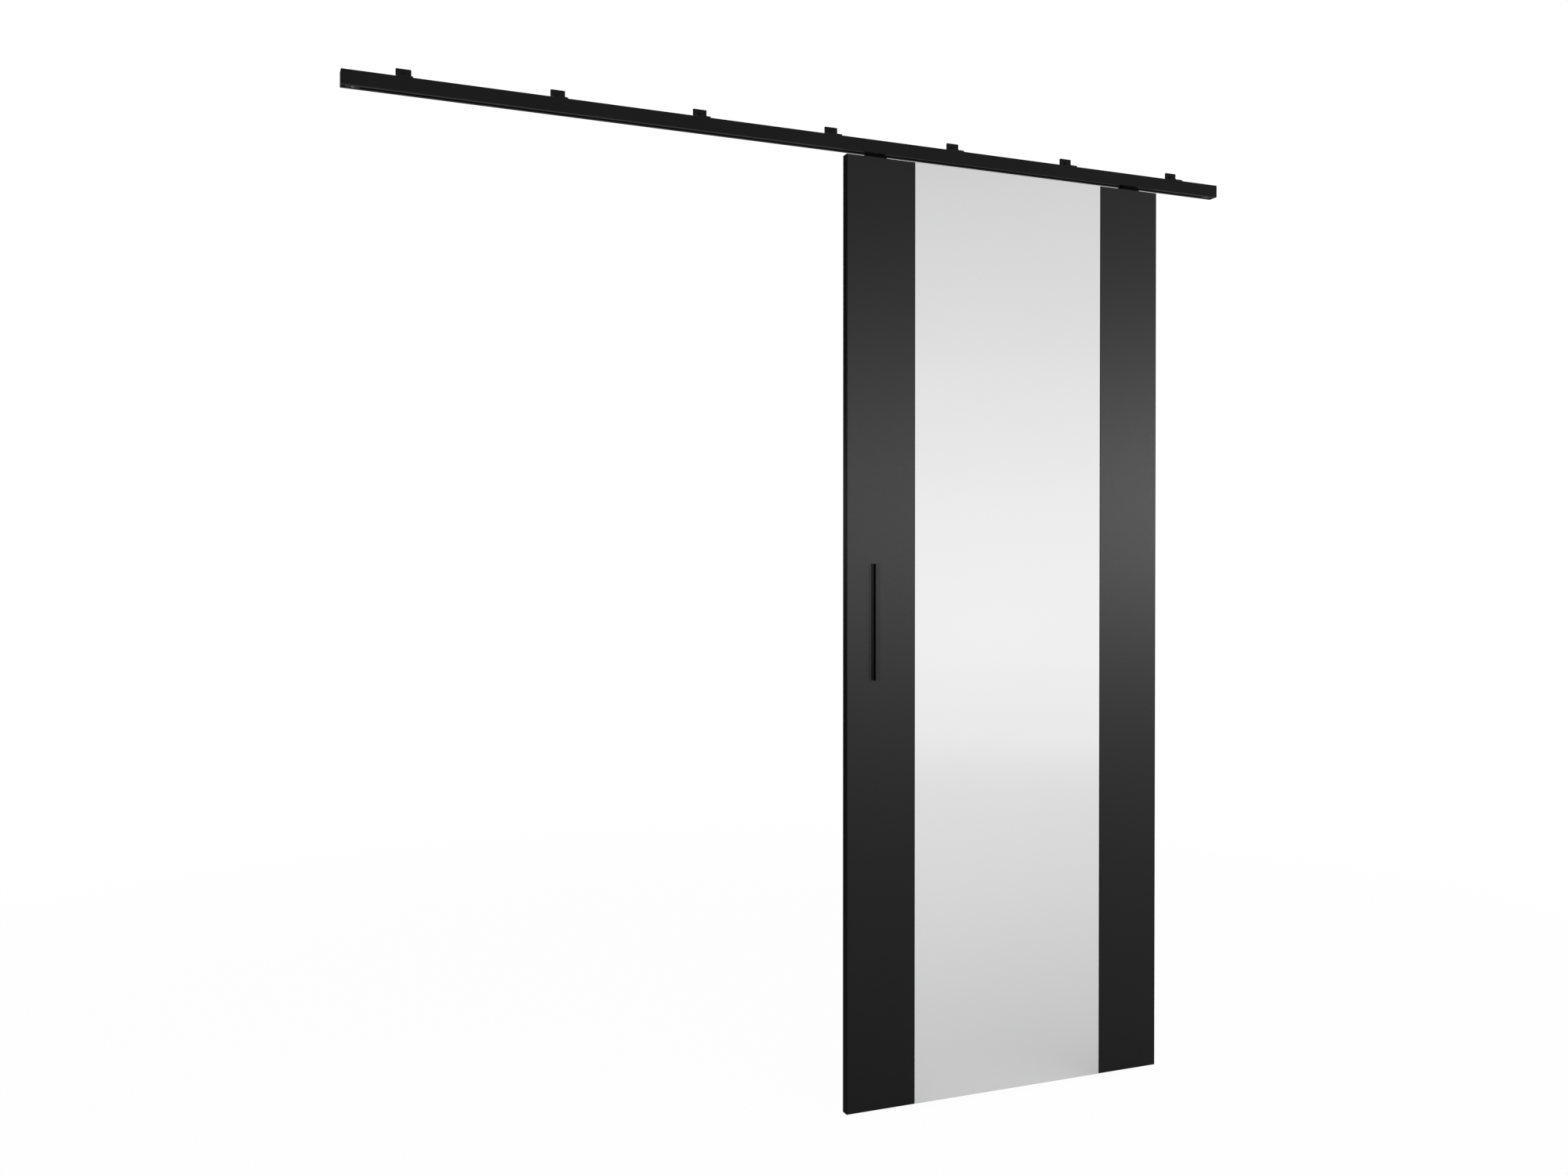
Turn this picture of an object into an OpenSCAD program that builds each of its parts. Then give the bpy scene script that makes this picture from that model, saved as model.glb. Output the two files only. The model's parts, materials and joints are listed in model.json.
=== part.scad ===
// Top-hung sliding mirror door on a surface-mounted wall track.
// Millimetres. X runs along the wall, Y into the wall, Z up.
// The origin is on the wall plane, on the middle bracket's screw hole.

/* [Door] */
// Width of the door
door_w = 800; // [760:1:960]
// Height of the door
door_h = 2050; // [1700:1:2460]
// Thickness of the door over everything
door_t = 20; // [18:0.5:24]
// Left edge of the door at rest, from the middle of the rail
door_x = 26.5; // [20:0.5:30]
// Thickness of the strips on the door's face
strip_t = 4; // [3.2:0.1:5]
// Thickness of the edge band
band_t = 1; // [0.8:0.1:1.5]
// Rounding of the door's upright edges
edge_r = 0.8; // [0.6:0.1:1]

/* [Mirror] */
// Width of the mirror
mirror_w = 480; // [400:1:576]
// Door edge to mirror, on the handle side
mirror_in = 163; // [136:1:170]
// Thickness of the glass
mirror_t = 3; // [2.5:0.1:3.1]
// Joint between the mirror and the strip on each side
mirror_gap = 0.5; // [0.3:0.1:1]
// Polished arris round the glass
arris = 0.5; // [0.3:0.1:0.8]
// Width of one row of mounting tape
tape_w = 25; // [15:1:40]
// Tape stops short of the mirror's top and bottom by
tape_short = 20; // [10:1:60]

/* [Rail] */
// Length of the rail with its end caps
rail_l = 2000; // [1667:1:2400]
// Height of the rail
rail_h = 28; // [26:0.5:34]
// Depth of the rail, front to back
rail_d = 26; // [25:0.5:31.5]
// Side walls
wall_t = 2; // [1.6:0.1:2.4]
// Top web
web_t = 3; // [2:0.1:4]
// Lips that the rollers run on
lip_t = 2.5; // [2:0.1:3]
// Slot between the lips
slot_w = 9; // [8.5:0.1:9.4]
// Rounding of the rail's long edges
rail_r = 1; // [0.5:0.1:1.5]
// Gap between the rail and the top of the door
hang_gap = 8; // [7.5:0.1:12]
// Plate of an end cap
cap_t = 2; // [1.5:0.1:3]
// Plug of an end cap
plug_l = 6; // [3:0.5:6.5]
// Wall of that plug
plug_wall = 1.6; // [1:0.1:2.5]
// Clearance round that plug
plug_clear = 0.15; // [0.1:0.05:0.3]

/* [Brackets] */
// Rail end to the first bracket's centre
bracket_in = 115; // [96:1:138]
// Width of a bracket
bracket_w = 29; // [26:0.5:35]
// Upright leg against the wall
bracket_t = 3; // [2.5:0.1:4]
// Foot on top of the rail
foot_t = 2.5; // [2:0.1:3]
// Top of the rail to the top of the upright leg
leg_up = 23; // [22:0.5:28]
// Reach of the upright leg behind the rail
leg_down = 20; // [12:0.5:24]
// Top of the rail to the wall screw's centre
hole_up = 14; // [13.5:0.5:16]
// Radius of the wall screw's hole
hole_r = 2.5; // [2:0.05:3]
// Foot stops short of the rail's front by
foot_short = 1; // [0.5:0.5:3]
// Thickness of a side rib
rib_t = 2.5; // [2:0.1:3]
// Height of a side rib at the wall
rib_h = 12; // [10:0.5:12.5]
// Hollow of the rib's sloping edge
rib_dip = 1.2; // [0.6:0.1:2]
// Rounding of the upright leg's top corners
leg_r = 1.5; // [0.5:0.1:3]

/* [Bracket bolts] */
// Radius of the bolt
bolt_r = 2.5; // [2:0.1:3]
// Clearance round the bolt
bolt_clear = 0.25; // [0.15:0.05:0.4]
// Radius of the head
bolt_head_r = 4.75; // [4.2:0.05:5.5]
// Height of the head
bolt_head_h = 2.75; // [2.2:0.05:3]
// Width of the nut across its flats
nut_w = 8; // [7:0.5:9]
// Height of the nut
nut_h = 4; // [3:0.1:4]
// Bolt past the nut
bolt_past = 0.8; // [0.5:0.1:2]

/* [Carriages] */
// Door edge to the carriage's centre
hang_in = 72; // [66:1:86]
// Length of a carriage
car_l = 60; // [58:1:68]
// Width of its beam between the rollers
beam_w = 8; // [7:0.1:8.4]
// Height of a carriage
car_h = 13; // [11:0.5:13.5]
// Carriage above the lips
car_lift = 0.4; // [0.3:0.1:0.6]
// Length of the boss round the hanger bolt
boss_l = 16; // [14:0.5:18]
// Width of that boss
boss_w = 17; // [14:0.5:20]
// Centre of a carriage to each axle
axle_x = 20; // [19.8:0.2:24]
// Radius of a roller
roller_r = 9; // [7.5:0.1:9.4]
// Width of a roller
roller_w = 4.6; // [4:0.1:4.8]
// Gap between a roller and the lip
roller_gap = 0.1; // [0.05:0.01:0.2]
// Roller from the slot's edge
roller_in = 0.3; // [0.2:0.1:0.5]
// Radius of an axle
axle_r = 2; // [1.6:0.05:2.4]
// Running clearance of a roller on its axle
axle_clear = 0.05; // [0.02:0.01:0.1]
// Radius of an axle's riveted head
axle_head_r = 3.4; // [3:0.1:4.5]
// Thickness of that head
axle_head_t = 0.7; // [0.5:0.1:0.9]
// Gap between a roller and that head
axle_head_gap = 0.35; // [0.3:0.05:0.5]

/* [Hangers] */
// Length of a hanger block on the door's top edge
block_l = 46; // [38.5:0.5:55]
// Width of a hanger block
block_w = 18; // [15:0.5:18]
// Running gap between a hanger block and the rail
block_gap = 1.5; // [1:0.1:2.5]
// Radius of the hanger bolt
hang_r = 3; // [2.5:0.1:3.5]
// Head radius of the hanger bolt
hang_head_r = 5; // [4.2:0.1:6]
// Head height of the hanger bolt
hang_head_h = 3; // [2.5:0.1:3.3]
// Reach of the hanger bolt into the door
hang_deep = 14; // [8:0.5:24]
// Clearance round the hanger bolt
hang_clear = 0.3; // [0.2:0.05:0.5]
// Width of the lock nut across its flats
lock_w = 10; // [9:0.5:11]
// Height of the lock nut
lock_h = 3.2; // [2.5:0.1:4]
// Clearance at threads
thread_clear = 0.05; // [0.02:0.01:0.1]
// Hanger block's centre to each wood screw
screw_x = 15; // [13:0.5:16]
// Radius of a wood screw
screw_r = 2; // [1.6:0.1:2.4]
// Head radius of a wood screw
screw_head_r = 3.8; // [3.2:0.1:4.5]
// Length of a wood screw
screw_l = 30; // [20:1:45]

/* [Stops] */
// Length of a stop block
stop_l = 26; // [20:0.5:26]
// Height of a stop block
stop_h = 16; // [12:0.5:17]
// Clearance of a stop block in the rail
stop_clear = 0.4; // [0.2:0.1:0.8]
// Length of the rubber buffer
buffer_l = 7; // [5:0.5:7.5]
// Height of the rubber buffer
buffer_h = 10; // [8:0.5:11]
// Width of the rubber buffer
buffer_w = 14; // [10:0.5:17]
// Rounding of the buffer's upright edges
buffer_r = 1.5; // [1:0.1:3]
// Gap between buffer and carriage at the end of travel
end_gap = 0.2; // [0.1:0.1:0.5]
// Radius of the clamping screw
clamp_r = 3; // [2.5:0.1:3.5]

/* [Handle] */
// Door edge to the handle
handle_in = 57.8; // [50:0.1:80]
// Door bottom to the foot of the handle
handle_low = 928; // [773:1:1114]
// Length of the handle
handle_l = 250; // [200:1:300]
// Width of the handle's plate
plate_w = 20.5; // [17:0.5:24.6]
// Thickness of that plate
plate_t = 1.2; // [1:0.1:2]
// Thickness of the upright bar
grip_t = 5; // [4.5:0.1:6]
// How far the handle stands out from the door
grip_out = 13; // [11:0.5:15.6]
// Rounding of the bar's free edges
grip_r = 1; // [0.5:0.1:1.5]
// Handle's end to its screw
pin_in = 25; // [15:1:40]
// Radius of the handle's screws
pin_r = 1.5; // [1.2:0.1:1.8]
// Head radius of the handle's screws
pin_head_r = 2.75; // [2.4:0.05:3.5]
// Head height of the handle's screws
pin_head_h = 2; // [1.6:0.1:3]
// Screw's grip inside the bar
pin_bite = 8; // [6:0.5:9]

/* [Hidden] */

// Smoothness of round pieces
fine = 64;
// Brackets on the rail, and rows of tape
n_brackets = 7;
n_tapes = 3;
// Overshoot of every cut
cut = 1;

// Levels
rail_top = -hole_up;
rail_low = rail_top - rail_h;
lip_top = rail_low + lip_t;
roof = rail_top - web_t;
door_top = rail_low - hang_gap;
door_low = door_top - door_h;
block_top = rail_low - block_gap;
axle_z = lip_top + roller_gap + roller_r;
car_low = lip_top + car_lift;
car_top = car_low + car_h;

// Depths
rail_back = -bracket_t;
rail_front = rail_back - rail_d;
mid_y = (rail_back + rail_front) / 2;
room = rail_d / 2 - wall_t;
door_front = mid_y - door_t / 2;
door_back = mid_y + door_t / 2;
core_front = door_front + strip_t;

// Places along the wall
rail_end = rail_l / 2;
door_end = door_x + door_w;
glass_x = door_x + mirror_in;
glass_end = glass_x + mirror_w;
hang_x = [door_x + hang_in, door_end - hang_in];
pitch = (rail_l - 2 * bracket_in) / (n_brackets - 1);
bracket_x = [for (i = [0 : n_brackets - 1]) -rail_end + bracket_in + i * pitch];
axle_at = [for (h = hang_x, s = [-1, 1]) h + s * axle_x];
stop_face = rail_end - hang_in + car_l / 2 + end_gap;

// Rollers: middle of the rail to their inner face, outer face and axle head, then rim and web
roller_y0 = slot_w / 2 + roller_in;
roller_y1 = roller_y0 + roller_w;
head_y = roller_y1 + axle_head_gap;
roller_rim = 1.6;
web_step = 0.7;

// Bracket bolts: foot of the tapered head as a share of its top, and the socket across its flats
head_taper = 0.7;
socket_w = 1.2 * bolt_r;

// Handle
handle_x = door_x + handle_in;
handle_z = door_low + handle_low;
grip_mid = handle_x + grip_t / 2;
pin_z = [handle_z + pin_in, handle_z + handle_l - pin_in];
pin_y = door_front - plate_t - pin_bite;

module block(x0, x1, y0, y1, z0, z1) {
    translate([x0, y0, z0]) cube([x1 - x0, y1 - y0, z1 - z0]);
}

// A rectangle with four true round corners
module soft_rect(w, h, r) {
    difference() {
        square([w, h]);
        for (a = [0, 1], b = [0, 1])
            translate([a * w, b * h]) mirror([a, 0]) mirror([0, b]) corner(r);
    }
}

// What a round corner of radius r takes off at the origin
module corner(r) {
    difference() {
        translate([-cut, -cut]) square(r + cut);
        translate([r, r]) circle(r, $fn = fine);
        translate([r, -2 * cut]) square(r + 3 * cut);
        translate([-2 * cut, r]) square(r + 3 * cut);
    }
}

// A profile drawn in Y and Z, run along X from x0 to x1
module along_x(x0, x1) {
    translate([x0, 0, 0]) rotate([90, 0, 90]) linear_extrude(x1 - x0) children();
}

// A profile drawn in X and Y, run up from z0 to z1
module along_z(z0, z1) {
    translate([0, 0, z0]) linear_extrude(z1 - z0) children();
}

// A rod along Z or along Y
module rod_z(x, y, z0, z1, r) {
    translate([x, y, z0]) cylinder(h = z1 - z0, r = r, $fn = fine);
}

module rod_y(x, z, y0, y1, r) {
    translate([x, y1, z]) rotate([90, 0, 0]) cylinder(h = y1 - y0, r = r, $fn = fine);
}

// A six-sided prism along Z, w across its flats
module hex_z(x, y, z0, z1, w) {
    translate([x, y, z0]) cylinder(h = z1 - z0, d = w / cos(30), $fn = 6);
}

// ---------- track ----------

module rail_outline() {
    translate([rail_front, rail_low]) soft_rect(rail_d, rail_h, rail_r);
}

module rail() {
    color([0.03, 0.03, 0.03])
    difference() {
        along_x(-rail_end + cap_t, rail_end - cap_t)
            difference() {
                rail_outline();
                translate([mid_y - room, lip_top]) square([2 * room, roof - lip_top]);
                translate([mid_y - slot_w / 2, rail_low - cut]) square([slot_w, lip_t + 2 * cut]);
            }
        for (x = bracket_x) rod_z(x, mid_y, roof - cut, rail_top + cut, bolt_r + bolt_clear);
    }
}

// An end cap drawn for the left end: a plate and a hollow plug
module end_cap(side) {
    w = room - plug_clear;
    low = lip_top + plug_clear;
    high = roof - plug_clear;
    color([0.02, 0.02, 0.02])
    mirror([side > 0 ? 1 : 0, 0, 0]) {
        along_x(-rail_end, -rail_end + cap_t) rail_outline();
        along_x(-rail_end + cap_t, -rail_end + cap_t + plug_l)
            difference() {
                translate([mid_y - w, low]) square([2 * w, high - low]);
                translate([mid_y - w + plug_wall, low + plug_wall])
                    square([2 * (w - plug_wall), high - low - 2 * plug_wall]);
            }
    }
}

module end_cap_left() {
    end_cap(-1);
}

module end_cap_right() {
    end_cap(1);
}

// Outline of a side rib: straight on the wall and the foot, hollow on its slope
module rib_outline() {
    front = rail_front + foot_short;
    low = rail_top + foot_t;
    high = rail_top + rib_h;
    run = rail_back - front;
    rise = high - low;
    chord = norm([run, rise]);
    arc_r = (chord * chord / 4 + rib_dip * rib_dip) / (2 * rib_dip);
    far = arc_r - rib_dip;
    difference() {
        polygon([[front, rail_top], [rail_back, rail_top], [rail_back, high], [front, low]]);
        translate([(front + rail_back) / 2 - rise / chord * far, (low + high) / 2 + run / chord * far])
            circle(arc_r, $fn = 180);
    }
}

module bracket(n) {
    x = bracket_x[n - 1];
    half = bracket_w / 2;
    color([0.03, 0.03, 0.03])
    difference() {
        union() {
            translate([x - half, 0, rail_top - leg_down])
                rotate([90, 0, 0]) linear_extrude(bracket_t) leg_outline();
            block(x - half, x + half, rail_front + foot_short, rail_back, rail_top, rail_top + foot_t);
            along_x(x - half, x - half + rib_t) rib_outline();
            along_x(x + half - rib_t, x + half) rib_outline();
        }
        rod_y(x, 0, -bracket_t - cut, cut, hole_r);
        rod_z(x, mid_y, rail_top - cut, rail_top + foot_t + cut, bolt_r + bolt_clear);
    }
}

module leg_outline() {
    tall = leg_down + leg_up;
    difference() {
        square([bracket_w, tall]);
        translate([0, tall]) mirror([0, 1]) corner(leg_r);
        translate([bracket_w, tall]) mirror([0, 1]) mirror([1, 0]) corner(leg_r);
    }
}

module bracket_1() {
    bracket(1);
}

module bracket_2() {
    bracket(2);
}

module bracket_3() {
    bracket(3);
}

module bracket_4() {
    bracket(4);
}

module bracket_5() {
    bracket(5);
}

module bracket_6() {
    bracket(6);
}

module bracket_7() {
    bracket(7);
}

// Head inside the rail, shank up through the roof and the bracket's foot
module bracket_bolts() {
    color([0.03, 0.03, 0.03])
    for (x = bracket_x)
        difference() {
            union() {
                rod_z(x, mid_y, roof, rail_top + foot_t + nut_h + bolt_past, bolt_r);
                translate([x, mid_y, roof - bolt_head_h])
                    cylinder(h = bolt_head_h, r1 = head_taper * bolt_head_r, r2 = bolt_head_r, $fn = fine);
            }
            hex_z(x, mid_y, roof - bolt_head_h - cut, roof - bolt_head_h / 2, socket_w);
        }
}

module bracket_nuts() {
    color([0.03, 0.03, 0.03])
    for (x = bracket_x)
        difference() {
            hex_z(x, mid_y, rail_top + foot_t, rail_top + foot_t + nut_h, nut_w);
            rod_z(x, mid_y, rail_top, rail_top + foot_t + nut_h + cut, bolt_r + thread_clear);
        }
}

// A stop block drawn for the left end: it sits on the lips with a tongue in the slot
module stop(side) {
    x0 = -stop_face - buffer_l - stop_l;
    w = room - stop_clear;
    t = slot_w / 2 - stop_clear;
    color([0.05, 0.05, 0.05])
    mirror([side > 0 ? 1 : 0, 0, 0])
        difference() {
            union() {
                block(x0, x0 + stop_l, mid_y - w, mid_y + w, lip_top, lip_top + stop_h);
                block(x0, x0 + stop_l, mid_y - t, mid_y + t, rail_low + stop_clear, lip_top + cut);
            }
            rod_z(x0 + stop_l / 2, mid_y, rail_low - cut, roof, clamp_r + thread_clear);
        }
}

module stop_left() {
    stop(-1);
}

module stop_right() {
    stop(1);
}

// Rubber buffer on the stop's inner face
module buffer(side) {
    color([0.015, 0.015, 0.015])
    mirror([side > 0 ? 1 : 0, 0, 0])
        along_z(car_low + (car_h - buffer_h) / 2, car_low + (car_h + buffer_h) / 2)
            difference() {
                translate([-stop_face - buffer_l, mid_y - buffer_w / 2]) square([buffer_l, buffer_w]);
                translate([-stop_face, mid_y - buffer_w / 2]) mirror([1, 0]) corner(buffer_r);
                translate([-stop_face, mid_y + buffer_w / 2])
                    mirror([1, 0]) mirror([0, 1]) corner(buffer_r);
            }
}

module buffer_left() {
    buffer(-1);
}

module buffer_right() {
    buffer(1);
}

// Clamping screws, turned from below through the slot, that press on the roof
module stop_screws() {
    x = stop_face + buffer_l + stop_l / 2;
    color([0.35, 0.35, 0.36])
    for (s = [-1, 1])
        difference() {
            rod_z(s * x, mid_y, rail_low + stop_clear, roof, clamp_r);
            hex_z(s * x, mid_y, rail_low, rail_low + lip_t + stop_clear, clamp_r);
        }
}

// ---------- door ----------

module door_core() {
    color([0.04, 0.04, 0.04])
    difference() {
        block(door_x + band_t, door_end - band_t, core_front, door_back,
            door_low + band_t, door_top - band_t);
        for (h = hang_x) {
            rod_z(h, mid_y, door_top - hang_deep - cut, door_top, hang_r + hang_clear);
            for (s = [-1, 1])
                rod_z(h + s * screw_x, mid_y, block_top - screw_l - cut, door_top, screw_r + thread_clear);
        }
        for (z = pin_z) {
            rod_y(grip_mid, z, core_front - cut, door_back, pin_r + bolt_clear);
            rod_y(grip_mid, z, door_back - pin_head_h, door_back + cut, pin_head_r + bolt_clear);
        }
    }
}

module strip_left() {
    color([0.03, 0.03, 0.03])
    difference() {
        block(door_x + band_t, glass_x - mirror_gap, door_front, core_front, door_low, door_top);
        for (z = pin_z) rod_y(grip_mid, z, door_front - cut, core_front + cut, pin_r + bolt_clear);
    }
}

module strip_right() {
    color([0.03, 0.03, 0.03])
    block(glass_end + mirror_gap, door_end - band_t, door_front, core_front, door_low, door_top);
}

// Glass with a small arris down both sides
module mirror_glass() {
    color([0.8, 0.82, 0.83])
    along_z(door_low, door_top)
        polygon([[glass_x, door_front + arris], [glass_x + arris, door_front],
            [glass_end - arris, door_front], [glass_end, door_front + arris],
            [glass_end, door_front + mirror_t], [glass_x, door_front + mirror_t]]);
}

// Double-sided tape between the glass and the board
module mirror_tape() {
    gap = (mirror_w - n_tapes * tape_w) / (n_tapes + 1);
    color([0.6, 0.6, 0.58])
    for (i = [0 : n_tapes - 1])
        translate([glass_x + gap + i * (gap + tape_w), 0, 0])
            block(0, tape_w, door_front + mirror_t, core_front,
                door_low + tape_short, door_top - tape_short);
}

// Full-thickness band drawn for the left edge, its outer corners rounded
module side_band() {
    difference() {
        square([band_t, door_t]);
        corner(edge_r);
        translate([0, door_t]) mirror([0, 1]) corner(edge_r);
    }
}

module edge_left() {
    color([0.03, 0.03, 0.03])
    along_z(door_low, door_top) translate([door_x, door_front]) side_band();
}

module edge_right() {
    color([0.03, 0.03, 0.03])
    along_z(door_low, door_top) translate([door_end, door_front]) mirror([1, 0]) side_band();
}

module edge_top() {
    color([0.03, 0.03, 0.03])
    difference() {
        block(door_x + band_t, door_end - band_t, core_front, door_back, door_top - band_t, door_top);
        for (h = hang_x) {
            rod_z(h, mid_y, door_top - band_t - cut, door_top + cut, hang_r + hang_clear);
            for (s = [-1, 1])
                rod_z(h + s * screw_x, mid_y, door_top - band_t - cut, door_top + cut,
                    screw_r + thread_clear);
        }
    }
}

module edge_bottom() {
    color([0.03, 0.03, 0.03])
    block(door_x + band_t, door_end - band_t, core_front, door_back, door_low, door_low + band_t);
}

// ---------- hangers and carriages ----------

// Block on the door's top edge, with a pocket for the lock nut and two countersunk holes
module hanger(h) {
    sink = screw_head_r - screw_r;
    color([0.02, 0.02, 0.02])
    difference() {
        block(h - block_l / 2, h + block_l / 2, mid_y - block_w / 2, mid_y + block_w / 2,
            door_top, block_top);
        rod_z(h, mid_y, door_top - cut, block_top + cut, hang_r + thread_clear);
        hex_z(h, mid_y, block_top - lock_h, block_top + cut, lock_w + 2 * hang_clear);
        for (s = [-1, 1]) {
            rod_z(h + s * screw_x, mid_y, door_top - cut, block_top + cut, screw_r + bolt_clear);
            translate([h + s * screw_x, mid_y, block_top - sink])
                cylinder(h = sink + cut, r1 = screw_r + bolt_clear,
                    r2 = screw_head_r + bolt_clear + cut, $fn = fine);
        }
    }
}

module hanger_left() {
    hanger(hang_x[0]);
}

module hanger_right() {
    hanger(hang_x[1]);
}

module hanger_screws() {
    sink = screw_head_r - screw_r;
    color([0.35, 0.35, 0.36])
    for (h = hang_x, s = [-1, 1]) {
        rod_z(h + s * screw_x, mid_y, block_top - screw_l, block_top - sink, screw_r);
        translate([h + s * screw_x, mid_y, block_top - sink])
            cylinder(h = sink, r1 = screw_r, r2 = screw_head_r, $fn = fine);
    }
}

// Head on the carriage's boss, shank down through the slot into the hanger and the door
module hanger_bolts() {
    color([0.35, 0.35, 0.36])
    for (h = hang_x)
        union() {
            rod_z(h, mid_y, door_top - hang_deep, car_top, hang_r);
            rod_z(h, mid_y, car_top, car_top + hang_head_h, hang_head_r);
        }
}

module lock_nuts() {
    color([0.35, 0.35, 0.36])
    for (h = hang_x)
        difference() {
            hex_z(h, mid_y, block_top - lock_h, block_top, lock_w);
            rod_z(h, mid_y, block_top - lock_h - cut, block_top + cut, hang_r + thread_clear);
        }
}

// Beam between the rollers with a wide boss in its middle
module carriage(h) {
    color([0.05, 0.05, 0.05])
    difference() {
        union() {
            block(h - car_l / 2, h + car_l / 2, mid_y - beam_w / 2, mid_y + beam_w / 2, car_low, car_top);
            block(h - boss_l / 2, h + boss_l / 2, mid_y - boss_w / 2, mid_y + boss_w / 2,
                car_low, car_top);
        }
        rod_z(h, mid_y, car_low - cut, car_top + cut, hang_r + hang_clear);
        for (s = [-1, 1])
            rod_y(h + s * axle_x, axle_z, mid_y - beam_w, mid_y + beam_w, axle_r + thread_clear);
    }
}

module carriage_left() {
    carriage(hang_x[0]);
}

module carriage_right() {
    carriage(hang_x[1]);
}

module axles() {
    color([0.7, 0.7, 0.72])
    for (x = axle_at)
        union() {
            rod_y(x, axle_z, mid_y - head_y, mid_y + head_y, axle_r);
            for (s = [-1, 1])
                translate([x, mid_y + s * (head_y + axle_head_t / 2), axle_z])
                    rotate([90, 0, 0])
                        cylinder(h = axle_head_t, r = axle_head_r, center = true, $fn = fine);
        }
}

// Two nylon rollers on one axle, each with a web set back from its rim
module rollers(n) {
    hub = axle_head_r;
    rim = roller_r - roller_rim;
    step = web_step;
    bore = axle_r + axle_clear;
    color([0.75, 0.75, 0.72])
    for (s = [0, 1])
        translate([axle_at[n - 1], mid_y, axle_z]) mirror([0, s, 0]) rotate([-90, 0, 0])
            rotate_extrude($fn = fine)
                polygon([[bore, roller_y0], [hub, roller_y0], [hub, roller_y0 + step],
                    [rim, roller_y0 + step], [rim, roller_y0],
                    [roller_r - step / 2, roller_y0], [roller_r, roller_y0 + step / 2],
                    [roller_r, roller_y1 - step / 2], [roller_r - step / 2, roller_y1],
                    [rim, roller_y1], [rim, roller_y1 - step], [hub, roller_y1 - step],
                    [hub, roller_y1], [bore, roller_y1]]);
}

module rollers_1() {
    rollers(1);
}

module rollers_2() {
    rollers(2);
}

module rollers_3() {
    rollers(3);
}

module rollers_4() {
    rollers(4);
}

// ---------- handle ----------

module handle_plate() {
    color([0.04, 0.04, 0.04])
    difference() {
        block(handle_x, handle_x + plate_w, door_front - plate_t, door_front,
            handle_z, handle_z + handle_l);
        for (z = pin_z) rod_y(grip_mid, z, door_front - plate_t - cut, door_front + cut, pin_r + bolt_clear);
    }
}

// Upright bar on the plate's outer edge, its two free edges rounded
module handle_grip() {
    front = door_front - grip_out;
    color([0.03, 0.03, 0.03])
    difference() {
        along_z(handle_z, handle_z + handle_l)
            difference() {
                translate([handle_x, front]) square([grip_t, grip_out - plate_t]);
                translate([handle_x, front]) corner(grip_r);
                translate([handle_x + grip_t, front]) mirror([1, 0]) corner(grip_r);
            }
        for (z = pin_z) rod_y(grip_mid, z, pin_y - cut, door_front, pin_r + thread_clear);
    }
}

// Screws from the back of the door into the bar
module handle_screws() {
    color([0.35, 0.35, 0.36])
    for (z = pin_z)
        union() {
            rod_y(grip_mid, z, pin_y, door_back - pin_head_h, pin_r);
            rod_y(grip_mid, z, door_back - pin_head_h, door_back, pin_head_r);
        }
}

rail();
end_cap_left();
end_cap_right();
bracket_1();
bracket_2();
bracket_3();
bracket_4();
bracket_5();
bracket_6();
bracket_7();
bracket_bolts();
bracket_nuts();
stop_left();
stop_right();
buffer_left();
buffer_right();
stop_screws();
door_core();
strip_left();
strip_right();
mirror_glass();
mirror_tape();
edge_left();
edge_right();
edge_top();
edge_bottom();
hanger_left();
hanger_right();
hanger_screws();
hanger_bolts();
lock_nuts();
carriage_left();
carriage_right();
axles();
rollers_1();
rollers_2();
rollers_3();
rollers_4();
handle_plate();
handle_grip();
handle_screws();
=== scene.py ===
import json
import math

import bmesh
import bpy
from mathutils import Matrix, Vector


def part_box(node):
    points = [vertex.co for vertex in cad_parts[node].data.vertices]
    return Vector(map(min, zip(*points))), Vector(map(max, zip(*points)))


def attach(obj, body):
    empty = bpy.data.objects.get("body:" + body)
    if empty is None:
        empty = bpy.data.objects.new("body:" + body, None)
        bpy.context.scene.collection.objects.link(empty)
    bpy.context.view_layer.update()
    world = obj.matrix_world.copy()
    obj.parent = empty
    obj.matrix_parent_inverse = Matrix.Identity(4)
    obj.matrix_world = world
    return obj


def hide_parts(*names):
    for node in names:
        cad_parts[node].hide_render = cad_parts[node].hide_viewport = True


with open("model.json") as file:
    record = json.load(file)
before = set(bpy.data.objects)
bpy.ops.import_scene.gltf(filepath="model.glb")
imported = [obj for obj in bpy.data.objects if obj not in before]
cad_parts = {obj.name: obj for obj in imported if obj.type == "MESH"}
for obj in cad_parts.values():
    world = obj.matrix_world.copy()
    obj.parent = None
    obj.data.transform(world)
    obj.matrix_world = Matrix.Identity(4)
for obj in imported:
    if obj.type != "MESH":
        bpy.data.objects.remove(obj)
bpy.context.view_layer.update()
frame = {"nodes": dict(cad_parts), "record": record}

scene = bpy.context.scene
nodes = frame["nodes"]
record = frame["record"]
body_of = {n: b for b, names in record["behaviour"]["bodies"].items() for n in names}
slot_of = {s["node"]: s["material_slot"] for s in record["subparts"]}
BRACKETS = range(1, 8)


# ---------- materials ----------

# Noise at or below the first gives a material's low end, and at or above the second its high end
NOISE_LOW, NOISE_HIGH = 0.3, 0.7


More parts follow.
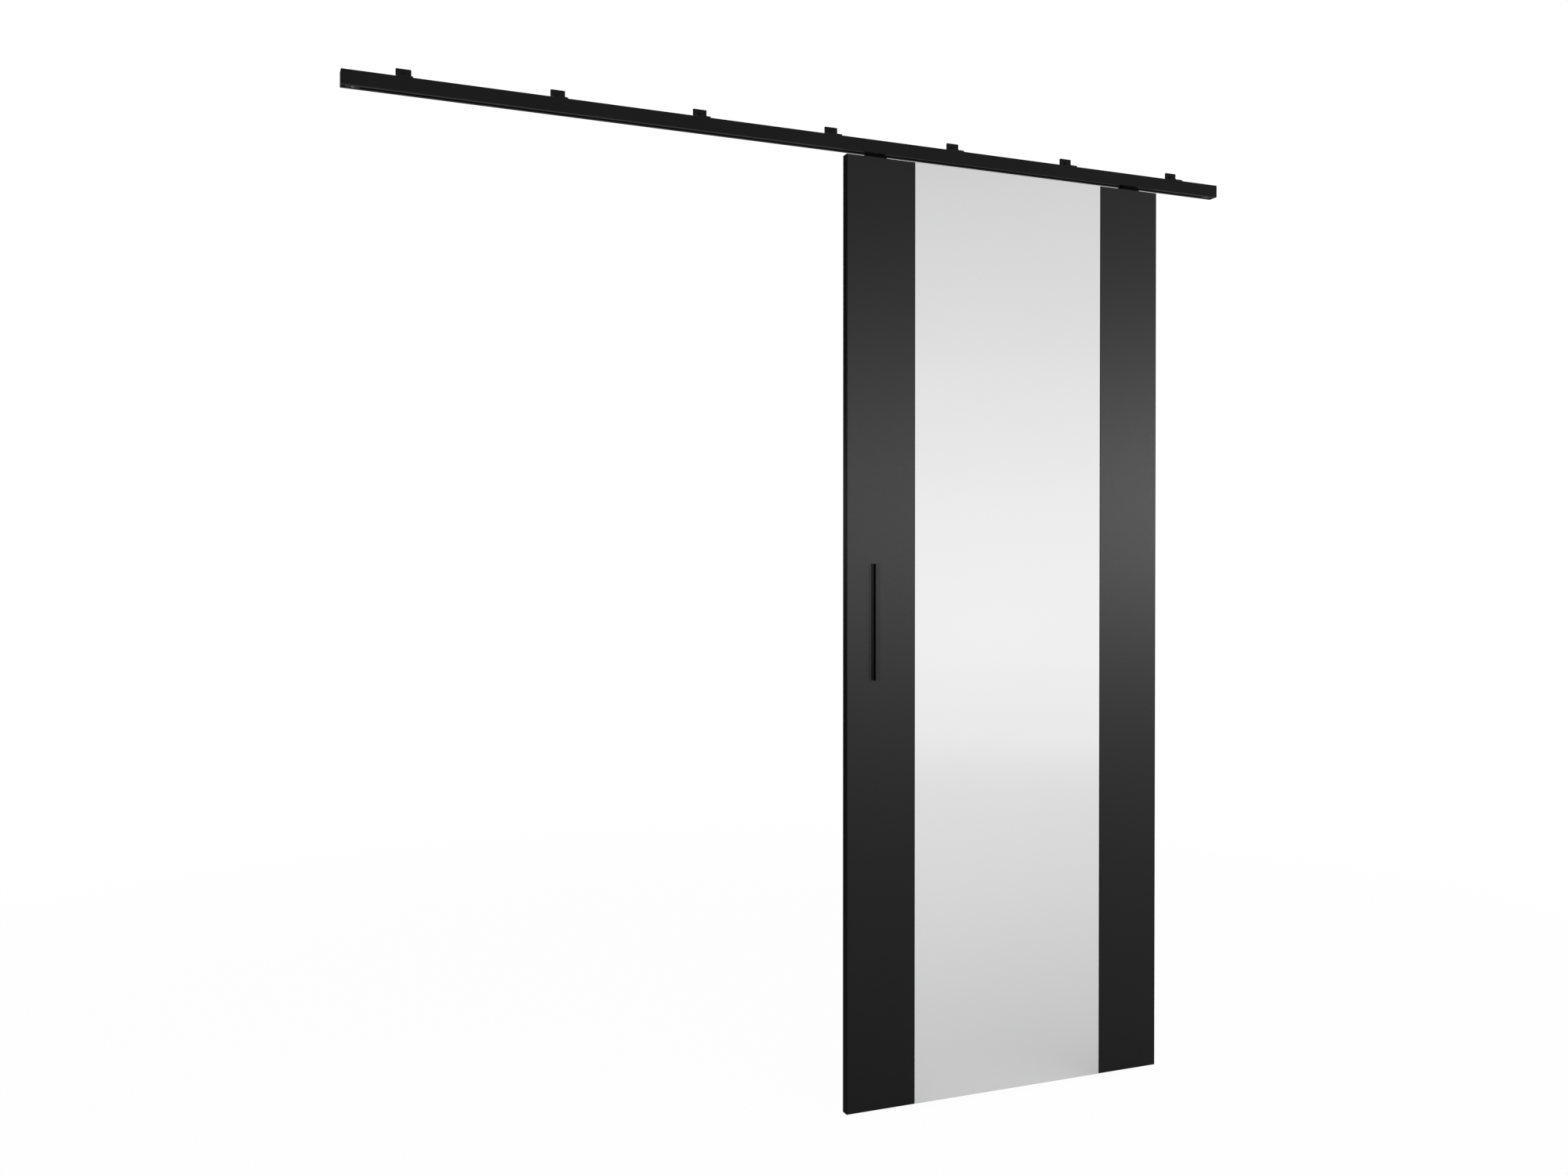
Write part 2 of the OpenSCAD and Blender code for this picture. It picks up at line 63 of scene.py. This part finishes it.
class Shader:
    """A principled material and the few node chains that it uses."""

    def __init__(self, name):
        self.mat = bpy.data.materials.new(name)
        self.mat.use_nodes = True
        self.tree = self.mat.node_tree
        self.bsdf = self.tree.nodes["Principled BSDF"]
        coord = self.tree.nodes.new("ShaderNodeTexCoord")
        self.coord = coord.outputs["Object"]

    def link(self, a, b):
        self.tree.links.new(a, b)

    def set(self, **values):
        for key, value in values.items():
            self.bsdf.inputs[key.replace("_", " ")].default_value = value

    def noise(self, scale, stretch=(1, 1, 1), detail=3.0, rough=0.5):
        """Noise in metres of the object's own space; stretch multiplies the scale along each axis."""
        place = self.tree.nodes.new("ShaderNodeMapping")
        place.inputs["Scale"].default_value = stretch
        self.link(self.coord, place.inputs["Vector"])
        tex = self.tree.nodes.new("ShaderNodeTexNoise")
        tex.inputs["Scale"].default_value = scale
        tex.inputs["Detail"].default_value = detail
        tex.inputs["Roughness"].default_value = rough
        self.link(place.outputs["Vector"], tex.inputs["Vector"])
        return tex.outputs["Fac"]

    def ranged(self, value, low, high):
        """A noise value stretched to run from low to high."""
        node = self.tree.nodes.new("ShaderNodeMapRange")
        node.inputs["From Min"].default_value = NOISE_LOW
        node.inputs["From Max"].default_value = NOISE_HIGH
        node.inputs["To Min"].default_value = low
        node.inputs["To Max"].default_value = high
        self.link(value, node.inputs["Value"])
        return node.outputs["Result"]

    def colour(self, value, dark, light):
        ramp = self.tree.nodes.new("ShaderNodeValToRGB")
        ramp.color_ramp.elements[0].position = NOISE_LOW
        ramp.color_ramp.elements[0].color = (*dark, 1)
        ramp.color_ramp.elements[1].position = NOISE_HIGH
        ramp.color_ramp.elements[1].color = (*light, 1)
        self.link(value, ramp.inputs["Fac"])
        self.link(ramp.outputs["Color"], self.bsdf.inputs["Base Color"])

    def roughness(self, value, low, high):
        self.link(self.ranged(value, low, high), self.bsdf.inputs["Roughness"])

    def bump(self, value, depth):
        node = self.tree.nodes.new("ShaderNodeBump")
        node.inputs["Strength"].default_value = 1.0
        node.inputs["Distance"].default_value = depth
        self.link(value, node.inputs["Height"])
        self.link(node.outputs["Normal"], self.bsdf.inputs["Normal"])


def coated(name, tone, level, rough, peel, depth, tint=0.25, stretch=(1, 1, 1)):
    """A dark coat: colour and gloss that drift a little, over a fine texture."""
    s = Shader(name)
    s.set(Metallic=0.0, Specular_IOR_Level=level)
    drift = s.noise(5.0, detail=4.0)
    s.colour(drift, tuple(c * (1 - tint) for c in tone), tuple(c * (1 + tint) for c in tone))
    fine = s.noise(peel, stretch)
    s.roughness(fine, rough - 0.04, rough + 0.04)
    s.bump(fine, depth)
    return s.mat


def laminate(name, tone, level, rough):
    """The satin black face of the door: a faint mottle of a few millimetres over a fine grain."""
    s = Shader(name)
    s.set(Metallic=0.0, Specular_IOR_Level=level)
    drift = s.noise(4.0, detail=4.0)
    s.colour(drift, (tone * 0.9,) * 3, (tone * 1.1, tone * 1.1, tone * 1.14))
    mottle = s.noise(320.0, detail=5.0, rough=0.65)
    s.roughness(mottle, rough - 0.02, rough + 0.02)
    s.bump(s.noise(1500.0), 0.00001)
    return s.mat


def metal(name, tone, rough, grain, depth, stretch=(1, 1, 1)):
    """Bare or plated metal: a tone that drifts a little, over a fine grain."""
    s = Shader(name)
    s.set(Metallic=1.0)
    drift = s.noise(60.0, detail=4.0)
    s.colour(drift, tuple(c * 0.85 for c in tone), tuple(min(1.0, c * 1.1) for c in tone))
    lines = s.noise(grain, stretch)
    s.roughness(lines, rough - 0.08, rough + 0.08)
    s.bump(lines, depth)
    return s.mat


def mirror_face():
    """Silvered glass: near-perfect reflection with the faintest haze."""
    s = Shader("mirror_face")
    s.set(Metallic=1.0, Specular_IOR_Level=0.5)
    haze = s.noise(2.5, detail=3.0)
    s.colour(haze, (0.8645, 0.8665, 0.8655), (0.8725, 0.8745, 0.8735))
    s.roughness(haze, 0.0, 0.012)
    return s.mat


def mirror_edge():
    """The polished edge of float glass, dark green in depth."""
    s = Shader("mirror_edge")
    s.set(Metallic=0.0, Specular_IOR_Level=0.3)
    depth = s.noise(30.0, (1, 1, 0.2), detail=4.0)
    s.colour(depth, (0.02, 0.045, 0.04), (0.045, 0.085, 0.075))
    s.roughness(depth, 0.08, 0.2)
    return s.mat


def mirror_back():
    """The grey paint on the back of the silvering."""
    return coated("mirror_back", (0.1, 0.1, 0.11), 0.3, 0.6, 900.0, 0.00002)


def nylon():
    """Off-white moulded nylon with a fine texture."""
    s = Shader("nylon_roller")
    s.set(Metallic=0.0, Specular_IOR_Level=0.45)
    drift = s.noise(180.0, detail=4.0)
    s.colour(drift, (0.66, 0.645, 0.6), (0.76, 0.745, 0.7))
    s.roughness(drift, 0.32, 0.48)
    s.bump(s.noise(2500.0), 0.00001)
    return s.mat


def tape():
    """Grey foam tape with small cells."""
    s = Shader("foam_tape")
    s.set(Metallic=0.0, Specular_IOR_Level=0.2)
    cells = s.noise(1800.0, detail=2.0)
    s.colour(cells, (0.4, 0.4, 0.38), (0.56, 0.56, 0.54))
    s.roughness(cells, 0.75, 0.95)
    s.bump(cells, 0.0001)
    return s.mat


looks = {
    "black_anodised_rail": coated("black_anodised_rail", (0.0062, 0.0062, 0.0064), 0.13, 0.34,
        700.0, 0.000012, stretch=(0.02, 1, 1)),
    "black_steel_bracket": coated("black_steel_bracket", (0.0058, 0.0058, 0.006), 0.15, 0.46,
        1500.0, 0.00003),
    "black_plastic": coated("black_plastic", (0.006, 0.006, 0.006), 0.16, 0.5, 2200.0, 0.00003),
    "buffer_rubber": coated("buffer_rubber", (0.007, 0.007, 0.007), 0.2, 0.78, 1400.0, 0.00006),
    "black_die_cast": coated("black_die_cast", (0.012, 0.012, 0.013), 0.25, 0.52, 1100.0, 0.00005),
    "black_board": coated("black_board", (0.0085, 0.0085, 0.0088), 0.2, 0.42, 1300.0, 0.00002),
    "black_strip": laminate("black_strip", 0.0024, 0.168, 0.44),
    "black_edge_band": coated("black_edge_band", (0.0011, 0.0011, 0.0012), 0.016, 0.4,
        500.0, 0.000002, tint=0.12),
    "black_hanger": coated("black_hanger", (0.0018, 0.0018, 0.0018), 0.03, 0.5, 1300.0, 0.00004),
    "carriage_body": coated("carriage_body", (0.03, 0.03, 0.032), 0.35, 0.48, 1000.0, 0.00005),
    "black_handle": coated("black_handle", (0.0007, 0.0007, 0.00075), 0.01, 0.5, 1600.0, 0.00002),
    "black_fasteners": coated("black_fasteners", (0.0052, 0.0052, 0.0055), 0.13, 0.42, 1800.0, 0.00002),
    "zinc_fasteners": metal("zinc_fasteners", (0.56, 0.57, 0.6), 0.34, 900.0, 0.00003),
    "steel_axle": metal("steel_axle", (0.62, 0.62, 0.64), 0.26, 900.0, 0.00002, stretch=(1, 0.05, 1)),
    "nylon_roller": nylon(),
    "foam_tape": tape(),
    "mirror": mirror_face(),
}
own_look = {"handle_plate": laminate("handle_plate_coat", 0.0022, 0.138, 0.44)}
edge_look = mirror_edge()
back_look = mirror_back()


# ---------- pieces ----------

# Corners closer than this, in metres, are one corner
WELD = 1e-6
# Faces that meet at less than this are one face
FLAT_ANGLE = math.radians(0.5)
# Edges below this are shaded smooth before the easing
SMOOTH_ANGLE = math.radians(32)
# Edges above this are eased, in this many steps
EASE_ANGLE = math.radians(40)
EASE_STEPS = 2
# Faces above this area, in square metres, are shaded flat if their normal's largest part is above this
WIDE_FACE = 1e-5
SQUARE_TO_AXIS = 0.99999


def link(obj):
    scene.collection.objects.link(obj)
    return obj


def adopt(obj, node):
    """A new piece that stands for a node, on the node's body, with the node itself hidden."""
    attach(obj, body_of[node])
    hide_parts(node)
    return obj


def level_faces(mesh):
    """Shade the wide faces that lie square to an axis as truly flat, up to the round beside them."""
    normals = [n.vector.copy() for n in mesh.corner_normals]
    for face in mesh.polygons:
        if face.area > WIDE_FACE and max(abs(c) for c in face.normal) > SQUARE_TO_AXIS:
            for i in face.loop_indices:
                normals[i] = face.normal.copy()
    mesh.normals_split_custom_set(normals)


def eased(node, width):
    """The node's own shape with its sharp edges eased by a small round."""
    mesh = nodes[node].data.copy()
    mesh.name = "eased_" + node
    bm = bmesh.new()
    bm.from_mesh(mesh)
    bmesh.ops.remove_doubles(bm, verts=bm.verts, dist=WELD)
    bmesh.ops.dissolve_limit(bm, angle_limit=FLAT_ANGLE, verts=bm.verts, edges=bm.edges)
    bm.to_mesh(mesh)
    bm.free()
    for face in mesh.polygons:
        face.use_smooth = True
    mesh.set_sharp_from_angle(angle=SMOOTH_ANGLE)
    obj = link(bpy.data.objects.new("eased_" + node, mesh))
    mod = obj.modifiers.new("ease", "BEVEL")
    mod.width = width
    mod.segments = EASE_STEPS
    mod.limit_method = "ANGLE"
    mod.angle_limit = EASE_ANGLE
    mod.use_clamp_overlap = True
    mod.harden_normals = True
    done = bpy.data.meshes.new_from_object(obj.evaluated_get(bpy.context.evaluated_depsgraph_get()))
    obj.modifiers.clear()
    obj.data = done
    done.name = "eased_" + node
    level_faces(done)
    done.materials.clear()
    done.materials.append(own_look.get(node) or looks[slot_of[node]])
    return adopt(obj, node)


eases = {
    "end_cap_left": 0.0004, "end_cap_right": 0.0004,
    "stop_left": 0.0005, "stop_right": 0.0005,
    "strip_left": 0.0004, "strip_right": 0.0004,
    "edge_top": 0.0002, "edge_bottom": 0.0002, "door_core": 0.0004,
    "hanger_left": 0.0005, "hanger_right": 0.0005,
    "carriage_left": 0.0006, "carriage_right": 0.0006,
    "handle_plate": 0.0003, "handle_grip": 0.0004,
    **{f"bracket_{i}": 0.0004 for i in BRACKETS},
}
for name, width in eases.items():
    eased(name, width)


def mirror_piece():
    """The glass with its silvered face, polished arris and painted back as separate faces."""
    low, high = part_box("mirror_glass")
    arris = 0.0006
    bm = bmesh.new()
    rings = [(low.y, arris), (low.y + arris, 0.0), (high.y - arris, 0.0), (high.y, arris)]
    loops = []
    for y, inset in rings:
        loops.append([bm.verts.new(p) for p in (
            (low.x + inset, y, low.z + inset), (high.x - inset, y, low.z + inset),
            (high.x - inset, y, high.z - inset), (low.x + inset, y, high.z - inset))])
    bm.faces.new(loops[0])
    for a, b in zip(loops, loops[1:]):
        for i in range(4):
            j = (i + 1) % 4
            bm.faces.new((a[i], b[i], b[j], a[j]))
    bm.faces.new(list(reversed(loops[-1])))
    bmesh.ops.recalc_face_normals(bm, faces=bm.faces)
    bm.normal_update()
    mesh = bpy.data.meshes.new("mirror_sheet")
    for face in bm.faces:
        if face.normal.y < -0.99:
            face.material_index = 0
        elif face.normal.y > 0.99:
            face.material_index = 2
        else:
            face.material_index = 1
    bm.to_mesh(mesh)
    bm.free()
    for look in (looks["mirror"], edge_look, back_look):
        mesh.materials.append(look)
    adopt(link(bpy.data.objects.new("mirror_sheet", mesh)), "mirror_glass")


mirror_piece()


def wall_screws():
    """A black pan-head screw with a hexagon socket in every bracket's wall hole."""
    # Radii of the shank, the head, the flat on the head's top and the socket
    shank, head, land, socket = 0.00235, 0.0042, 0.0021, 0.0013
    # Heights of the head and of its straight rim, and the socket's depth
    rise, rim, deep = 0.0024, 0.0009, 0.0014
    # Half axes of the ellipse that the head's side follows, and the share of its width the socket keeps
    dome_in, dome_up = 0.0016, 0.0015
    taper = 0.97
    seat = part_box("rail")[1].y
    turns = 48
    top = seat - rise
    dome = [math.radians(a) for a in (0, 22, 44, 66)]
    rings = [(shank, 0.0, 0), (shank, seat, 0), (head, seat, 0)]
    rings += [(head - dome_in * (1 - math.cos(a)), seat - rim - dome_up * math.sin(a), 0) for a in dome]
    rings += [(land, top, 0), (socket, top, 1), (socket * taper, top + deep, 1)]
    bm = bmesh.new()
    for i in BRACKETS:
        low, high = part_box(f"bracket_{i}")
        mid = (low.x + high.x) / 2
        loops = []
        for radius, y, six in rings:
            loop = []
            for k in range(turns):
                turn = 2 * math.pi * k / turns
                flat = math.cos((turn % (math.pi / 3)) - math.pi / 6) if six else 1.0
                reach = radius / flat
                loop.append(bm.verts.new((mid + reach * math.cos(turn), y, reach * math.sin(turn))))
            loops.append(loop)
        bm.faces.new(loops[0])
        for a, b in zip(loops, loops[1:]):
            for k in range(turns):
                bm.faces.new((a[k], a[k - 1], b[k - 1], b[k]))
        bm.faces.new(list(reversed(loops[-1])))
    bmesh.ops.recalc_face_normals(bm, faces=bm.faces)
    mesh = bpy.data.meshes.new("wall_screws")
    bm.to_mesh(mesh)
    bm.free()
    for face in mesh.polygons:
        face.use_smooth = True
    mesh.set_sharp_from_angle(angle=math.radians(28))
    mesh.materials.append(looks["black_steel_bracket"])
    obj = link(bpy.data.objects.new("wall_screws", mesh))
    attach(obj, body_of["bracket_1"])


wall_screws()

replaced = set(eases) | {"mirror_glass"}
for name, obj in nodes.items():
    if name not in replaced:
        for s in obj.material_slots:
            s.material = own_look.get(name) or looks[slot_of[name]]


# ---------- stage, light and camera ----------

FLOOR_GAP = 0.011
FLOOR_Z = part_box("door_core")[0].z - FLOOR_GAP
FLOOR_RADIUS = 9.0
FLOOR_TONE = 0.88
FADE_FROM, FADE_TO = 1.6, 7.5
FLOOR_LIFT = 0.97

bpy.ops.mesh.primitive_circle_add(vertices=96, radius=FLOOR_RADIUS, fill_type="NGON",
    location=(0, 0, FLOOR_Z))
floor = bpy.context.object
floor.name = "floor"
mat = bpy.data.materials.new("pale_floor")
mat.use_nodes = True
tree = mat.node_tree
bsdf = tree.nodes["Principled BSDF"]
bsdf.inputs["Base Color"].default_value = (FLOOR_TONE, FLOOR_TONE, FLOOR_TONE, 1)
bsdf.inputs["Roughness"].default_value = 0.9
bsdf.inputs["Specular IOR Level"].default_value = 0.1
coord = tree.nodes.new("ShaderNodeTexCoord")
length = tree.nodes.new("ShaderNodeVectorMath")
length.operation = "LENGTH"
tree.links.new(coord.outputs["Object"], length.inputs[0])
fade = tree.nodes.new("ShaderNodeMapRange")
fade.interpolation_type = "SMOOTHSTEP"
fade.inputs["From Min"].default_value = FADE_FROM
fade.inputs["From Max"].default_value = FADE_TO
fade.inputs["To Min"].default_value = 0.0
fade.inputs["To Max"].default_value = 1.0
tree.links.new(length.outputs["Value"], fade.inputs["Value"])
# Lifted nearly to white for the camera's own rays; the mirror and the black parts see the plain floor
glow = tree.nodes.new("ShaderNodeEmission")
glow.inputs["Color"].default_value = (1, 1, 1, 1)
seen = tree.nodes.new("ShaderNodeLightPath")
lift = tree.nodes.new("ShaderNodeMath")
lift.operation = "MULTIPLY"
lift.inputs[1].default_value = FLOOR_LIFT
tree.links.new(seen.outputs["Is Camera Ray"], lift.inputs[0])
lit = tree.nodes.new("ShaderNodeMixShader")
tree.links.new(lift.outputs["Value"], lit.inputs["Fac"])
tree.links.new(bsdf.outputs["BSDF"], lit.inputs[1])
tree.links.new(glow.outputs["Emission"], lit.inputs[2])
clear = tree.nodes.new("ShaderNodeBsdfTransparent")
mix = tree.nodes.new("ShaderNodeMixShader")
tree.links.new(fade.outputs["Result"], mix.inputs["Fac"])
tree.links.new(lit.outputs["Shader"], mix.inputs[1])
tree.links.new(clear.outputs["BSDF"], mix.inputs[2])
tree.links.new(mix.outputs["Shader"], tree.nodes["Material Output"].inputs["Surface"])
floor.data.materials.append(mat)

# A white studio. The camera's own rays see plain white; what lights the door and shows in the mirror is a
# soft gradient with height, full in front of the door and dimmer behind it.
BACKDROP, BEHIND = 1.04, 0.34
world = bpy.data.worlds.new("studio")
scene.world = world
world.use_nodes = True
tree = world.node_tree
back = tree.nodes["Background"]
coord = tree.nodes.new("ShaderNodeTexCoord")
split = tree.nodes.new("ShaderNodeSeparateXYZ")
tree.links.new(coord.outputs["Generated"], split.inputs["Vector"])
height = tree.nodes.new("ShaderNodeMapRange")
height.inputs["From Min"].default_value = -0.5
height.inputs["From Max"].default_value = 0.5
tree.links.new(split.outputs["Z"], height.inputs["Value"])
ramp = tree.nodes.new("ShaderNodeValToRGB")
ramp.color_ramp.interpolation = "CARDINAL"
# The gradient's tone at heights from 0, low, to 1, high
stops = [(0.0, 0.56), (0.2, 0.64), (0.35, 0.87), (0.43, 0.975), (0.49, 0.99),
    (0.57, 0.942), (0.66, 0.85), (0.78, 0.725), (1.0, 0.6)]
while len(ramp.color_ramp.elements) < len(stops):
    ramp.color_ramp.elements.new(0.5)
for element, (at, tone) in zip(ramp.color_ramp.elements, stops):
    element.position = at
    element.color = (tone, tone, tone, 1)
tree.links.new(height.outputs["Result"], ramp.inputs["Fac"])
facing = tree.nodes.new("ShaderNodeMapRange")
facing.interpolation_type = "SMOOTHSTEP"
facing.inputs["From Min"].default_value = 0.0
facing.inputs["From Max"].default_value = -0.45
tree.links.new(split.outputs["Y"], facing.inputs["Value"])


def blend(a, b, factor):
    """Colour a turning into colour b; either may be a tone or a socket."""
    node = tree.nodes.new("ShaderNodeMix")
    node.data_type = "RGBA"
    for key, value in (("A", a), ("B", b)):
        if isinstance(value, float):
            node.inputs[key].default_value = (value, value, value, 1)
        else:
            tree.links.new(value, node.inputs[key])
    tree.links.new(factor, node.inputs["Factor"])
    return node.outputs["Result"]


room = blend(BEHIND, ramp.outputs["Color"], facing.outputs["Result"])
path = tree.nodes.new("ShaderNodeLightPath")
tree.links.new(blend(room, BACKDROP, path.outputs["Is Camera Ray"]), back.inputs["Color"])
back.inputs["Strength"].default_value = 1.0

EYE = Vector((-1.2085, -2.678, -0.948))
DOOR = (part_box("edge_left")[0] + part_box("edge_right")[1]) / 2


def softbox(name, place, target, width, tall, power, receivers, blocked=False):
    """An area light for the named pieces alone, so that no lamp shows in the mirror."""
    lamp = bpy.data.lights.new(name, "AREA")
    lamp.shape = "RECTANGLE"
    lamp.size = width
    lamp.size_y = tall
    lamp.energy = power
    obj = link(bpy.data.objects.new(name, lamp))
    obj.location = place
    obj.rotation_euler = (Vector(target) - Vector(place)).to_track_quat("-Z", "Y").to_euler()
    lit = bpy.data.collections.new(name + "_lit")
    for r in receivers:
        lit.objects.link(r)
    obj.light_linking.receiver_collection = lit
    if not blocked:
        clear_path = bpy.data.collections.new(name + "_blockers")
        clear_path.objects.link(floor)
        obj.light_linking.blocker_collection = clear_path


def shown(*names):
    return [bpy.data.objects.get("eased_" + n) or nodes[n] for n in names]


LAMP_Z = EYE.z + 0.29
FRONT_Y = -2.7
REAR_X, REAR_Y = -1.25, 2.6
softbox("left_soft", (1.5, FRONT_Y, LAMP_Z), (DOOR.x, DOOR.y, LAMP_Z), 1.6, 0.5, 60.0,
    shown("strip_left", "handle_plate"))
softbox("right_soft", (2.75, FRONT_Y, LAMP_Z + 0.04), (DOOR.x, DOOR.y, LAMP_Z), 1.6, 0.42, 88.0,
    shown("strip_right"))
softbox("side_soft", (REAR_X, REAR_Y, LAMP_Z), (DOOR.x, DOOR.y, LAMP_Z), 0.8, 0.45, 4.6,
    shown("edge_left"))
softbox("grip_soft", (REAR_X, REAR_Y, LAMP_Z - 0.15), (DOOR.x, DOOR.y, LAMP_Z - 0.15), 0.8, 1.0, 30.0,
    shown("handle_grip"))
softbox("floor_soft", (0.6, -4.1, 0.6), (0.6, -4.1, FLOOR_Z), 9.5, 8.0, 158.0, [floor])

LENS, SENSOR = 31.5, 36.0
TILT, TURN = -0.48, -22.35
camera = bpy.data.cameras.new("camera")
camera.sensor_fit = "HORIZONTAL"
camera.sensor_width = SENSOR
camera.lens = LENS
eye = link(bpy.data.objects.new("camera", camera))
eye.location = EYE
eye.rotation_euler = (math.radians(90 + TILT), 0.0, math.radians(TURN))
scene.camera = eye
scene.view_settings.view_transform = "Standard"
